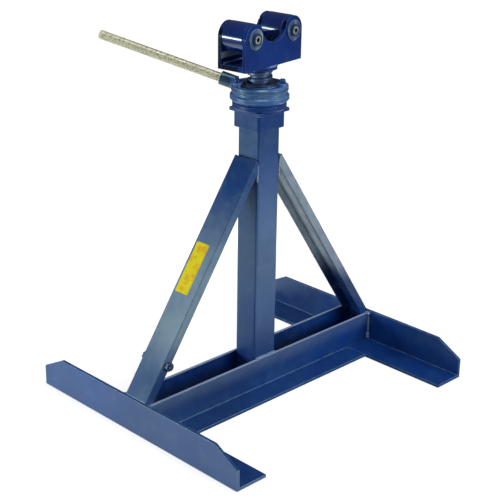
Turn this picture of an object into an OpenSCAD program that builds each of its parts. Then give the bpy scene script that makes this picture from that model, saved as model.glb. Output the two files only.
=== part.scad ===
// Cable drum jack: a welded stand, a ratchet screw lift and a head with two rollers.
// Millimetres, +Z up. The origin lies on the floor under the centre of the post.
// X runs along the two cross rails and Y along the two feet.

/* [Base] */
// Width of the base over both feet, along X
base_w = 670; // [580:5:800]
// Length of each foot, along Y
foot_len = 585; // [480:5:700]
// Leg of the feet's angle section
foot_leg = 75; // [65:1:90]
// Thickness of the feet's angle section
foot_t = 6; // [5:0.5:9]
// Height that the slanted end cut takes off a foot's upright leg
foot_cut_h = 32; // [20:1:45]
// Length of the slanted end cut
foot_cut_len = 60; // [40:1:90]
// Height of the two cross rails
rail_h = 70; // [55:1:85]
// Width of a rail's flat leg
rail_w = 58; // [45:1:70]
// Thickness of the rails
rail_t = 6; // [5:0.5:8]

/* [Post] */
// Side of the square post, which is also the gap between the rails
post_w = 60; // [56:1:70]
// Wall of the post
post_wall = 4; // [3:0.5:5]
// Outer corner radius of the post
post_r = 6; // [4.5:0.5:8]
// Height of the post's top end above the floor
post_top = 598; // [480:2:720]
// Thickness of the plate that closes the post's foot
base_plate_t = 6; // [4:1:8]
// Wall of the collar round the post's top
collar_wall = 7.2; // [5:0.2:9]
// Height of the collar
collar_h = 32; // [20:1:60]
// Thickness of the square plate on the post and collar
plate_t = 7; // [5:1:12]
// How far that plate stands out past the collar
plate_over = 4.5; // [2:0.5:8]

/* [Braces] */
// How far below the post's top the outer face of a brace meets the post
brace_drop = 82; // [60:2:140]
// Height at which the outer face of a brace meets the foot
brace_low = 76; // [60:2:120]
// Depth of the brace's channel section
brace_d = 19; // [15:1:24]
// Wall of the brace's channel section
brace_wall = 5; // [4:0.5:6]
// Drop of the square cut at a brace's upper end, down the post
brace_nose = 13; // [8:1:18]
// Diameter of the cross bolt in the left brace
bolt_d = 10; // [8:1:12]
// Height of the cross bolt above the floor
bolt_z = 138; // [120:2:200]
// How deep the cross bolt lies under the brace's outer face
bolt_in = 12; // [11:0.5:13]

/* [Screw] */
// Diameter of the lifting screw
screw_d = 50; // [44:1:51]
// Height of the square guide block at the screw's foot
guide_h = 40; // [25:1:60]
// Diameter of the screw's spigots, in the guide block and in the head
spigot_d = 36; // [28:1:40]
// Diameter of the cross pin in the guide block
pin_d = 8; // [6:1:10]
// Free screw between the lift nut and the head when the jack is down
neck_h = 27; // [24:1:40]

/* [Bearing and ratchet] */
// Outer radius of the bearing housing
house_r = 54; // [52:1:57]
// Height of the bearing housing
house_h = 13; // [11:0.5:13.5]
// Wall of the bearing housing
house_wall = 6; // [4:0.5:7]
// Thickness of each bearing race
race_t = 4.5; // [4:0.5:6]
// Diameter of the bearing balls
ball_d = 7; // [6:0.5:8]
// Number of bearing balls
ball_count = 18; // [12:1:20]
// Wall of the lift nut's upper hub
hub_wall = 8; // [6:0.5:8.5]
// Wall of the lift nut's lower hub, inside the bearing
hub_low_wall = 4; // [3:0.5:5]
// Radius of the ratchet wheel
wheel_r = 59; // [57:1:62]
// Thickness of the ratchet wheel under its teeth
wheel_t = 14.5; // [12:0.5:18]
// Number of crown teeth
tooth_count = 24; // [24:12:24]
// Height of the crown teeth
tooth_h = 5; // [4:0.5:6]
// Radius at which the crown teeth end
tooth_out_r = 54; // [52:0.5:55]
// Wall of the rim that closes the tooth gaps on the outside
rim_wall = 2.8; // [1.5:0.1:3]
// Width of a tooth at its foot
tooth_w = 6; // [5.5:0.1:6.2]
// Width of a tooth at its top
tooth_top_w = 4; // [3.5:0.1:4.5]

/* [Lever] */
// Outer radius of the lever's ring
yoke_r = 57; // [56:0.5:59]
// Height of the lever's ring
yoke_h = 13; // [12:0.5:16]
// Height at which the handle's line would cross the screw's axis, above the post's top
lever_z = 38; // [37:0.5:42]
// Direction of the handle, in degrees from +X
lever_dir = 120; // [105:15:120]
// Upward slope of the handle, in degrees
lever_tilt = 15.2; // [14.5:0.1:17]
// Outer radius of the handle's socket
socket_r = 14; // [12:0.5:15]
// Distance from the screw's axis to the socket's mouth
socket_mouth = 79.4; // [74:0.2:92]
// Distance from the screw's axis to the bottom of the socket
socket_floor = 50; // [49:0.5:54]
// Diameter of the handle
handle_d = 18; // [16:0.5:19]
// Distance from the screw's axis to the handle's far end
handle_reach = 333; // [260:1:333]
// Radius on which the two pawls stand
pawl_r = 46; // [45.5:0.5:46.5]
// Diameter of a pawl's stem
pawl_d = 9; // [8:0.5:9.5]
// Height that a pawl lifts to clear the teeth
pawl_lift = 6; // [5.5:0.5:7]

/* [Head] */
// Turn of the head on the screw, in degrees from the line of the rails
head_turn = 7; // [-15:1:15]
// Distance between the two roller axles
axle_gap = 119; // [112:1:130]
// Height of the axles above the head's underside
axle_up = 61; // [56:0.5:72]
// Diameter of the rollers
roller_d = 58; // [50:1:60]
// Length of the rollers
roller_len = 50; // [44:1:70]
// Wall of the rollers
roller_wall = 6; // [4:0.5:8]
// Diameter of the axles
axle_d = 16; // [14:1:18]
// Thickness of the two side plates
side_t = 8; // [6:1:12]
// How much smaller than a roller a side plate's lobe is, in radius
lobe_step = 0.4; // [0.2:0.1:2]
// Depth of the curved saddle between the lobes, below the axles
saddle_drop = 14.5; // [10:0.5:20]
// Thickness of the head's floor plate
floor_t = 10; // [8:1:14]
// Radius of the boss between the head and the screw
boss_r = 34; // [30:0.5:36]
// Height of that boss
boss_h = 9; // [5:1:11]
// Radius of the washers under the axle ends
washer_r = 20; // [18:0.5:24]
// Thickness of those washers
washer_t = 3; // [2:0.5:4]

/* [Hidden] */
$fn = 96;
// Colours as photographed: blue paint, bright steel, zinc
paint = [0.16, 0.27, 0.50];
paint_dark = [0.11, 0.18, 0.36];
steel = [0.62, 0.64, 0.66];
zinc = [0.80, 0.78, 0.68];
bronze = [0.66, 0.50, 0.28];
// Overrun of cuts past a face, and bite of a welded-on form into its base
over = 1;
// Gap between pieces that move past each other, and the close gap of a shaft in its bore
run_gap = 0.3;
shaft_gap = 0.06;
// Gap between the post and the collar slid over it
slip_gap = 0.3;

// Stand
foot_in = base_w / 2 - foot_t;
foot_edge = base_w / 2 - foot_leg;
rail_y = post_w / 2;
post_in = post_w - 2 * post_wall;
post_in_r = post_r - post_wall;
collar_in = post_w + 2 * slip_gap;
collar_w = collar_in + 2 * collar_wall;
collar_r = post_r + slip_gap + collar_wall / 3;
plate_w = collar_w + 2 * plate_over;
// Braces: a line down the outer face, from the post to the foot
brace_top = post_top - brace_drop;
brace_slope = atan((foot_in - post_w / 2) / (brace_top - brace_low));
brace_run = (foot_in - post_w / 2) / sin(brace_slope) + foot_leg;
brace_start = brace_nose * cos(brace_slope);
bolt_x = post_w / 2 + (brace_top - bolt_z) * tan(brace_slope) - bolt_in / cos(brace_slope);
bolt_af = 1.7 * bolt_d;
bolt_head_h = 0.7 * bolt_d;
bolt_nut_h = 0.8 * bolt_d;
bolt_end = 0.4 * bolt_d;

// Heights from the post's top up to the lever's ring
house_z = post_top + plate_t;
ball_sink = ball_d / 6;
ball_z = house_z + race_t + ball_d / 2 - ball_sink;
race_up_z = ball_z + ball_d / 2 - ball_sink + run_gap;
wheel_z = race_up_z + race_t;
tooth_z = wheel_z + wheel_t;
yoke_z = tooth_z + tooth_h + run_gap;
yoke_top = yoke_z + yoke_h;
// Nut and bearing radii, from the screw outwards
nut_bore_r = screw_d / 2 + shaft_gap;
hub_r = nut_bore_r + hub_wall;
hub_low_r = nut_bore_r + hub_low_wall;
race_in_r = hub_low_r + run_gap;
race_out_r = house_r - house_wall - run_gap;
ball_r = (race_in_r + race_out_r) / 2;
cage_t = ball_d / 4;
cage_wall = ball_d * 0.9;
hub_top = yoke_top + yoke_h / 3;
hub_foot = house_z + race_t / 3;
// Ring that keeps the lever on the hub
ring_t = yoke_h / 4;
ring_sink = hub_wall / 5;
ring_z = yoke_z + 2 * yoke_h / 3 + run_gap;
ring_out_r = hub_r + hub_wall * 0.4;
dish_z = yoke_z + 2 * yoke_h / 3;
dish_r = yoke_r - hub_wall;
edge = wheel_t / 6;
tooth_in_r = tooth_out_r - 1.9 * hub_wall;
// Crown teeth
tooth_step = 360 / tooth_count;
// Pawls: the image-left one raises, the image-right one lowers
raise_dir = lever_dir + 2 * tooth_step;
lower_dir = lever_dir - 12 * tooth_step;
boss_wall = pawl_d / 4;
pawl_collar_t = pawl_d / 6;
pocket_r = pawl_d / 2 + boss_wall * 0.9;
pawl_boss_r = pocket_r + boss_wall;
pocket_z = yoke_z + yoke_h / 4;
spring_t = pawl_d / 9;
spring_turns = 4;
spring_h = pawl_lift + (spring_turns + 0.5) * spring_t;
cap_t = pawl_d / 5;
cap_z = pocket_z + pawl_collar_t + run_gap + spring_h;
boss_top = cap_z + cap_t;
tip_z = tooth_z + run_gap;
knob_r = pawl_d * 2 / 3;
knob_h = pawl_d * 0.72;
// Handle and socket, along a tilted line
lever_axis_z = post_top + lever_z;
socket_bore_r = handle_d / 2 + 3 * shaft_gap;
handle_in = socket_floor / cos(lever_tilt) + run_gap;
handle_out = handle_reach / cos(lever_tilt);
handle_round = handle_d / 6;

// Screw and head
guide_z = base_plate_t + run_gap;
guide_top = guide_z + guide_h;
guide_w = post_in - 2 * run_gap;
guide_r = post_in_r;
head_z = hub_top + neck_h;
floor_z = head_z + boss_h;
axle_z = floor_z + axle_up;
lobe_x = axle_gap / 2;
lobe_r = roller_d / 2 - lobe_step;
side_gap = roller_len + 2 * washer_t / 3;
side_in = side_gap / 2;
side_out = side_in + side_t;
// Saddle: the circle through the lobes' inner sides at axle height and the saddle's lowest point
saddle_half = lobe_x - lobe_r;
saddle_up = (saddle_half * saddle_half / saddle_drop - saddle_drop) / 2;
saddle_r = saddle_up + saddle_drop;
axle_head_t = axle_d / 4;
axle_head_r = axle_d * 0.75;
axle_dimple_r = axle_d * 0.27;
nut_h = axle_d * 0.6;
nut_af = axle_d * 1.5;
axle_tail = nut_h * 1.3;
bush_len = roller_len / 5;

// Square with rounded corners, centred
module rounded_square(w, r) {
    square([w - 2 * r, w], center = true);
    square([w, w - 2 * r], center = true);
    for (sx = [-1, 1], sy = [-1, 1])
        translate([sx * (w / 2 - r), sy * (w / 2 - r)])
            circle(r);
}

// Square tube standing on the XY plane
module square_tube(w, r, inner_w, inner_r, h) {
    difference() {
        linear_extrude(h)
            rounded_square(w, r);
        translate([0, 0, -over])
            linear_extrude(h + 2 * over)
                rounded_square(inner_w, inner_r);
    }
}

// Ring or washer lying on the XY plane
module ring(r_out, r_in, h) {
    difference() {
        cylinder(h, r = r_out);
        translate([0, 0, -over])
            cylinder(h + 2 * over, r = r_in);
    }
}

// Turns a shape drawn in X and Y into one that stands in X and Z, with its thickness centred on Y
module upright(thick) {
    rotate([90, 0, 0])
        translate([0, 0, -thick / 2])
            linear_extrude(thick)
                children();
}

// Hexagon prism along Z, by its width across flats
module hexagon(af, h) {
    cylinder(h, r = af / 2 / cos(30), $fn = 6);
}

// Angle-section foot on the right side, upright leg outboard
module foot() {
    color(paint) {
        translate([foot_edge, -foot_len / 2, 0])
            cube([foot_leg, foot_len, foot_t]);
        translate([base_w / 2, 0, 0])
            rotate([0, -90, 0])
                linear_extrude(foot_t)
                    polygon([
                        [0, -foot_len / 2],
                        [foot_leg - foot_cut_h, -foot_len / 2],
                        [foot_leg, -foot_len / 2 + foot_cut_len],
                        [foot_leg, foot_len / 2 - foot_cut_len],
                        [foot_leg - foot_cut_h, foot_len / 2],
                        [0, foot_len / 2]
                    ]);
    }
}

module foot_left() {
    mirror([1, 0, 0])
        foot();
}

module foot_right() {
    foot();
}

// Cross rail behind the post: its upright leg is notched over the feet's flat legs
module rail() {
    color(paint) {
        translate([-foot_in, rail_y, foot_t])
            cube([2 * foot_in, rail_t, rail_h - foot_t]);
        translate([-foot_edge, rail_y, 0])
            cube([2 * foot_edge, rail_t, foot_t + over]);
        translate([-foot_edge, rail_y, 0])
            cube([2 * foot_edge, rail_w, rail_t]);
    }
}

module rail_back() {
    rail();
}

module rail_front() {
    mirror([0, 1, 0])
        rail();
}

module post() {
    color(paint)
        translate([0, 0, base_plate_t])
            square_tube(post_w, post_r, post_in, post_in_r, post_top - base_plate_t);
}

// Plate between the rails that carries the post
module post_base_plate() {
    color(paint_dark)
        translate([-post_w / 2, -post_w / 2, 0])
            cube([post_w, post_w, base_plate_t]);
}

module collar() {
    color(paint)
        translate([0, 0, post_top - collar_h])
            square_tube(collar_w, collar_r, collar_in, post_r, collar_h);
}

module top_plate() {
    color(paint)
        difference() {
            translate([-plate_w / 2, -plate_w / 2, post_top])
                cube([plate_w, plate_w, plate_t]);
            translate([0, 0, post_top - over])
                cylinder(plate_t + 2 * over, r = nut_bore_r + run_gap);
        }
}

// Side view of a strip under the brace's outer face, cut square at the post and upright at the foot
module brace_strip(depth) {
    intersection() {
        translate([post_w / 2, brace_top])
            rotate(brace_slope - 90)
                translate([brace_start, -depth])
                    square([brace_run, depth]);
        translate([post_w / 2, foot_t])
            square([foot_in - post_w / 2, brace_top]);
    }
}

// Channel-section brace on the right side, its web outboard
module brace() {
    upright(post_w)
        brace_strip(brace_wall);
    for (side = [-1, 1])
        translate([0, side * (post_w - brace_wall) / 2, 0])
            upright(brace_wall)
                brace_strip(brace_d);
}

module brace_right() {
    color(paint)
        brace();
}

module brace_left() {
    color(paint)
        difference() {
            mirror([1, 0, 0])
                brace();
            translate([-bolt_x, 0, bolt_z])
                rotate([90, 0, 0])
                    cylinder(post_w + 2 * over, r = bolt_d / 2, center = true);
        }
}

// Hexagon bolt through both flanges of the left brace, head at the back
module brace_bolt() {
    color(steel)
        translate([-bolt_x, 0, bolt_z])
            rotate([90, 0, 0]) {
                translate([0, 0, -post_w / 2])
                    cylinder(post_w + bolt_nut_h + bolt_end, r = bolt_d / 2);
                translate([0, 0, -post_w / 2 - bolt_head_h])
                    hexagon(bolt_af, bolt_head_h);
            }
}

module brace_nut() {
    color(steel)
        translate([-bolt_x, -post_w / 2, bolt_z])
            rotate([90, 0, 0])
                difference() {
                    hexagon(bolt_af, bolt_nut_h);
                    translate([0, 0, -over])
                        cylinder(bolt_nut_h + 2 * over, r = bolt_d / 2);
                }
}

// Cup that holds the thrust bearing, with rounded-off edges
module bearing_housing() {
    color(paint)
        translate([0, 0, house_z])
            rotate_extrude()
                polygon([
                    [house_r - house_wall, 0],
                    [house_r - edge, 0],
                    [house_r, edge],
                    [house_r, house_h - edge],
                    [house_r - edge, house_h],
                    [house_r - house_wall, house_h]
                ]);
}

// Flat race with a ball groove in its upper face
module race() {
    difference() {
        ring(race_out_r, race_in_r, race_t);
        translate([0, 0, race_t + ball_d / 2 - ball_sink])
            rotate_extrude()
                translate([ball_r, 0])
                    circle(ball_d / 2 + shaft_gap);
    }
}

module lower_race() {
    color(steel)
        translate([0, 0, house_z])
            race();
}

module upper_race() {
    color(steel)
        translate([0, 0, wheel_z])
            mirror([0, 0, 1])
                difference() {
                    ring(race_out_r, hub_low_r, race_t);
                    translate([0, 0, race_t + ball_d / 2 - ball_sink + run_gap])
                        rotate_extrude()
                            translate([ball_r, 0])
                                circle(ball_d / 2 + run_gap);
                }
}

// Bearing balls in their flat cage
module ball_cage() {
    color(bronze)
        translate([0, 0, ball_z]) {
            translate([0, 0, -cage_t / 2])
                ring(ball_r + cage_wall, ball_r - cage_wall, cage_t);
            for (i = [0 : ball_count - 1])
                rotate([0, 0, i * 360 / ball_count])
                    translate([ball_r, 0, 0])
                        sphere(d = ball_d, $fn = 32);
        }
}

// Bored nut with a stepped hub and a groove for the retaining ring
module lift_nut() {
    color(steel)
        rotate_extrude()
            polygon([
                [nut_bore_r, hub_foot],
                [hub_low_r, hub_foot],
                [hub_low_r, wheel_z],
                [hub_r, wheel_z],
                [hub_r, ring_z],
                [hub_r - ring_sink, ring_z],
                [hub_r - ring_sink, ring_z + ring_t],
                [hub_r, ring_z + ring_t],
                [hub_r, hub_top - edge],
                [hub_r - edge, hub_top],
                [nut_bore_r, hub_top]
            ]);
}

// One crown tooth, pointing up at +X
module crown_tooth() {
    translate([tooth_in_r, 0, tooth_z])
        rotate([90, 0, 90])
            linear_extrude(tooth_out_r - rim_wall / 2 - tooth_in_r)
                polygon([
                    [-tooth_w / 2, -over],
                    [tooth_w / 2, -over],
                    [tooth_w / 2, 0],
                    [tooth_top_w / 2, tooth_h],
                    [-tooth_top_w / 2, tooth_h],
                    [-tooth_w / 2, 0]
                ]);
}

// Wheel on the nut's hub, with rimmed crown teeth whose gaps face both pawls at rest
module ratchet_wheel() {
    color(paint) {
        rotate_extrude()
            polygon([
                [hub_r, wheel_z],
                [wheel_r - 2 * edge, wheel_z],
                [wheel_r, wheel_z + 2 * edge],
                [wheel_r, tooth_z - edge],
                [wheel_r - edge, tooth_z],
                [tooth_out_r, tooth_z],
                [tooth_out_r, tooth_z + tooth_h],
                [tooth_out_r - rim_wall, tooth_z + tooth_h],
                [tooth_out_r - rim_wall, tooth_z],
                [hub_r, tooth_z]
            ]);
        for (i = [0 : tooth_count - 1])
            rotate([0, 0, lever_dir + (i + 0.5) * tooth_step])
                crown_tooth();
    }
}

module retaining_ring() {
    color(steel)
        translate([0, 0, ring_z])
            ring(ring_out_r, hub_r - ring_sink, ring_t);
}

// Puts a shape on the handle's line, its own +Z pointing outwards
module on_lever_line() {
    translate([0, 0, lever_axis_z])
        rotate([0, 0, lever_dir])
            rotate([0, 90 - lever_tilt, 0])
                children();
}

// Puts a shape on one pawl's axis
module at_pawl(dir) {
    rotate([0, 0, dir])
        translate([pawl_r, 0, 0])
            children();
}

// Lever ring with its dished top, two pawl bosses and the handle's socket
module lever_yoke() {
    color(paint)
        difference() {
            union() {
                rotate_extrude()
                    polygon([
                        [hub_r + shaft_gap, yoke_z],
                        [yoke_r - edge, yoke_z],
                        [yoke_r, yoke_z + edge],
                        [yoke_r, yoke_top - edge],
                        [yoke_r - edge, yoke_top],
                        [dish_r, yoke_top],
                        [dish_r, dish_z],
                        [hub_r + shaft_gap, dish_z]
                    ]);
                on_lever_line()
                    translate([0, 0, (socket_floor - edge) / cos(lever_tilt)])
                        cylinder((socket_mouth - socket_floor + edge) / cos(lever_tilt), r = socket_r);
                for (dir = [raise_dir, lower_dir])
                    at_pawl(dir)
                        translate([0, 0, yoke_z])
                            cylinder(boss_top - yoke_z, r = pawl_boss_r);
            }
            on_lever_line()
                translate([0, 0, socket_floor / cos(lever_tilt)])
                    cylinder(socket_mouth, r = socket_bore_r);
            translate([0, 0, wheel_z])
                cylinder(yoke_z - wheel_z, r = wheel_r + over);
            for (dir = [raise_dir, lower_dir])
                at_pawl(dir) {
                    translate([0, 0, wheel_z])
                        cylinder(boss_top, r = pawl_d / 2 + shaft_gap);
                    translate([0, 0, pocket_z])
                        cylinder(boss_top, r = pocket_r);
                }
        }
}

// Bored plugs that close the two spring pockets
module pawl_caps() {
    color(steel)
        for (dir = [raise_dir, lower_dir])
            at_pawl(dir)
                translate([0, 0, cap_z])
                    ring(pocket_r, pawl_d / 2 + shaft_gap, cap_t);
}

// Close-wound look of a small compression spring, as stacked turns
module pawl_spring(dir) {
    color(steel)
        at_pawl(dir)
            translate([0, 0, cap_z - spring_h])
                difference() {
                    ring(pocket_r - run_gap, pawl_d / 2 + run_gap, spring_h);
                    for (i = [1 : spring_turns])
                        translate([0, 0, i * spring_h / (spring_turns + 1) - spring_t / 2])
                            ring(pocket_r, pocket_r - spring_t, spring_t);
                }
}

module spring_raise() {
    pawl_spring(raise_dir);
}

module spring_lower() {
    pawl_spring(lower_dir);
}

// Pawl stem with a collar and a tip that drives on one side and rides up on the other
module pawl(dir, drive) {
    color(steel)
        at_pawl(dir) {
            intersection() {
                translate([0, 0, tip_z])
                    cylinder(boss_top + knob_h - tip_z, r = pawl_d / 2);
                rotate([90, 0, 90])
                    translate([0, 0, -pawl_d])
                        linear_extrude(2 * pawl_d)
                            scale([drive, 1])
                                polygon([
                                    [-tooth_top_w / 4, tip_z],
                                    [tooth_w / 3, tip_z],
                                    [tooth_w / 3, yoke_z],
                                    [pawl_d, yoke_z],
                                    [pawl_d, boss_top + pawl_d],
                                    [-pawl_d, boss_top + pawl_d],
                                    [-pawl_d, yoke_z],
                                    [-tooth_top_w * 0.7, yoke_z]
                                ]);
            }
            translate([0, 0, pocket_z + run_gap])
                cylinder(pawl_collar_t, r = pocket_r - run_gap);
        }
}

module pawl_raise() {
    pawl(raise_dir, 1);
}

module pawl_lower() {
    pawl(lower_dir, -1);
}

// Knurl-sized knob on a pawl's stem, lifted by hand
module knob(dir) {
    color(paint_dark)
        at_pawl(dir)
            translate([0, 0, boss_top + run_gap])
                difference() {
                    rotate_extrude()
                        polygon([
                            [0, 0],
                            [knob_r, 0],
                            [knob_r, knob_h],
                            [knob_r - cap_t, knob_h + cap_t],
                            [0, knob_h + cap_t]
                        ]);
                    translate([0, 0, -over])
                        cylinder(knob_h - run_gap + over, r = pawl_d / 2);
                }
}

module knob_raise() {
    knob(raise_dir);
}

module knob_lower() {
    knob(lower_dir);
}

// Plain round bar with a rounded outer end
module handle_bar() {
    color(zinc)
        on_lever_line()
            translate([0, 0, handle_in])
                rotate_extrude() {
                    square([handle_d / 2, handle_out - handle_in - handle_round]);
                    square([handle_d / 2 - handle_round, handle_out - handle_in]);
                    translate([handle_d / 2 - handle_round, handle_out - handle_in - handle_round])
                        circle(handle_round);
                }
}

// Lifting screw with a spigot at each end
module screw() {
    color(steel)
        rotate_extrude()
            polygon([
                [0, guide_z],
                [spigot_d / 2, guide_z],
                [spigot_d / 2, guide_top],
                [screw_d / 2, guide_top],
                [screw_d / 2, head_z],
                [spigot_d / 2, head_z],
                [spigot_d / 2, floor_z + floor_t],
                [0, floor_z + floor_t]
            ]);
}

// Square block that slides in the post and keeps the screw from turning
module guide_block() {
    color(steel)
        difference() {
            translate([0, 0, guide_z])
                linear_extrude(guide_h)
                    rounded_square(guide_w, guide_r);
            translate([0, 0, guide_z - over])
                cylinder(guide_h + 2 * over, r = spigot_d / 2);
            translate([0, 0, guide_z + guide_h / 2])
                rotate([0, 90, 0])
                    cylinder(guide_w + 2 * over, r = pin_d / 2, center = true);
        }
}

// Cross pin through the guide block, in two halves that end at the spigot
module guide_pin() {
    color(steel)
        difference() {
            translate([0, 0, guide_z + guide_h / 2])
                rotate([0, 90, 0])
                    cylinder(guide_w - run_gap, r = pin_d / 2, center = true);
            cylinder(guide_top + over, r = spigot_d / 2);
        }
}

// Turns the head about the screw's axis
module turned() {
    rotate([0, 0, head_turn])
        children();
}

// Bored boss that turns on the screw's upper spigot
module head_boss() {
    color(paint)
        translate([0, 0, head_z])
            ring(boss_r, spigot_d / 2 + shaft_gap, boss_h);
}

module head_floor() {
    color(paint)
        turned()
            difference() {
                translate([-lobe_x - lobe_r, -side_in, floor_z])
                    cube([2 * (lobe_x + lobe_r), 2 * side_in, floor_t]);
                translate([0, 0, floor_z - over])
                    cylinder(floor_t + 2 * over, r = spigot_d / 2 + shaft_gap);
            }
}

// Front view of a side plate: two lobes round the axles and a curved saddle between them
module side_outline() {
    difference() {
        union() {
            translate([-lobe_x - lobe_r, floor_z])
                square([2 * (lobe_x + lobe_r), axle_up]);
            for (side = [-1, 1])
                translate([side * lobe_x, axle_z])
                    circle(lobe_r);
        }
        translate([0, axle_z + saddle_up])
            circle(saddle_r);
        for (side = [-1, 1])
            translate([side * lobe_x, axle_z])
                circle(axle_d / 2);
    }
}

// Side plate, on the side of Y that is given
module side_plate(side) {
    color(paint)
        turned()
            translate([0, side * (side_in + side_t / 2), 0])
                upright(side_t)
                    side_outline();
}

module side_plate_front() {
    side_plate(-1);
}

module side_plate_back() {
    side_plate(1);
}

// Puts a shape on one axle, its own +Z pointing to the front
module on_axle(side) {
    turned()
        translate([side * lobe_x, 0, axle_z])
            rotate([90, 0, 0])
                children();
}

// Puts a shape on both axles
module on_axles() {
    for (side = [-1, 1])
        on_axle(side)
            children();
}

// Two axle pins with dimpled round heads at the front
module axles() {
    color(steel)
        on_axles()
            difference() {
                union() {
                    translate([0, 0, -side_out - washer_t - axle_tail])
                        cylinder(2 * side_out + 2 * washer_t + axle_tail, r = axle_d / 2);
                    translate([0, 0, side_out + washer_t])
                        cylinder(axle_head_t, r = axle_head_r);
                }
                translate([0, 0, side_out + washer_t])
                    cylinder(axle_head_t + over, r = axle_dimple_r);
            }
}

module axle_washers() {
    color(paint)
        on_axles() {
            translate([0, 0, side_out])
                ring(washer_r, axle_d / 2, washer_t);
            translate([0, 0, -side_out - washer_t])
                ring(washer_r, axle_d / 2, washer_t);
        }
}

module axle_nuts() {
    color(steel)
        on_axles()
            translate([0, 0, -side_out - washer_t - nut_h])
                difference() {
                    hexagon(nut_af, nut_h);
                    translate([0, 0, -over])
                        cylinder(nut_h + 2 * over, r = axle_d / 2);
                }
}

// Tube roller with rounded edges
module roller(side) {
    color(paint)
        on_axle(side)
            rotate_extrude()
                polygon([
                    [roller_d / 2 - roller_wall, -roller_len / 2],
                    [roller_d / 2 - edge / 2, -roller_len / 2],
                    [roller_d / 2, -roller_len / 2 + edge / 2],
                    [roller_d / 2, roller_len / 2 - edge / 2],
                    [roller_d / 2 - edge / 2, roller_len / 2],
                    [roller_d / 2 - roller_wall, roller_len / 2]
                ]);
}

// Two bronze bushes pressed into a roller's ends
module bushes(side) {
    color(bronze)
        on_axle(side)
            for (end = [0, 1])
                translate([0, 0, end * (roller_len - bush_len) - roller_len / 2])
                    ring(roller_d / 2 - roller_wall, axle_d / 2 + shaft_gap, bush_len);
}

module roller_left() {
    roller(-1);
}

module roller_right() {
    roller(1);
}

module bushes_left() {
    bushes(-1);
}

module bushes_right() {
    bushes(1);
}

foot_left();
foot_right();
rail_front();
rail_back();
post();
post_base_plate();
collar();
top_plate();
brace_left();
brace_right();
brace_bolt();
brace_nut();
bearing_housing();
lower_race();
ball_cage();
upper_race();
lift_nut();
ratchet_wheel();
retaining_ring();
lever_yoke();
pawl_caps();
spring_raise();
spring_lower();
pawl_raise();
pawl_lower();
knob_raise();
knob_lower();
handle_bar();
screw();
guide_block();
guide_pin();
head_boss();
head_floor();
side_plate_front();
side_plate_back();
axles();
axle_washers();
axle_nuts();
roller_left();
roller_right();
bushes_left();
bushes_right();
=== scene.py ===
"""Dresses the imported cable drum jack: a finish on every solid, and the small forms that sit on them."""

import logging
import math
from dataclasses import dataclass, field
from enum import Enum
from typing import Callable, Iterable, Optional, Sequence

import bmesh
import bpy
from mathutils import Matrix, Vector


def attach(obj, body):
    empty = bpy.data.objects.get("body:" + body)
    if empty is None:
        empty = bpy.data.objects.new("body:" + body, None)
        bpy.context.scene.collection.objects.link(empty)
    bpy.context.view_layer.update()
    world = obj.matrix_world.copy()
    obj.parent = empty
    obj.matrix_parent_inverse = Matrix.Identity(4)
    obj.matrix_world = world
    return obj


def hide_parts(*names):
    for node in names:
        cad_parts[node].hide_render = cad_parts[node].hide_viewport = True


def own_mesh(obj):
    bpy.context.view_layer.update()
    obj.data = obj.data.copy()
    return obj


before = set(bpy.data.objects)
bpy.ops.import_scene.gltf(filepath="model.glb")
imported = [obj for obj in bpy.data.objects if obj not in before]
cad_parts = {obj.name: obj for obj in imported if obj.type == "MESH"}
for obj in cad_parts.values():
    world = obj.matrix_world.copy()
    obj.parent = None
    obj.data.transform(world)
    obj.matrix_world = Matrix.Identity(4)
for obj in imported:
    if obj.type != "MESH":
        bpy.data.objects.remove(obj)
LOG = logging.getLogger("cable_drum_jack")
Colour = tuple[float, float, float]


class Body(Enum):
    """The moving bodies of the jack that new pieces ride on."""

    FRAME = "frame"
    NUT = "nut"
    LEVER = "lever"
    SCREW = "screw"
    HEAD = "head"
    ROLLER_LEFT = "roller_left"
    ROLLER_RIGHT = "roller_right"


class Slot(Enum):
    """The record's material slots."""

    PAINT = "paint"
    HEAD_PAINT = "head_paint"
    ROLLER_PAINT = "roller_paint"
    ZINC = "zinc"
    BOLT_STEEL = "bolt_steel"
    SCREW_STEEL = "screw_steel"


def linear(red: float, green: float, blue: float) -> Colour:
    """Turns a colour as seen on a screen into the shader's own scale.

    Args:
        red: Red from 0 to 255.
        green: Green from 0 to 255.
        blue: Blue from 0 to 255.

    Returns:
        The same colour as linear numbers from 0 to 1.
    """

    def one(value: float) -> float:
        """Takes one channel off the screen's curve."""
        share = value / 255
        return share / 12.92 if share <= 0.04045 else ((share + 0.055) / 1.055) ** 2.4

    return one(red), one(green), one(blue)


# ---------------------------------------------------------------- finishes


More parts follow.
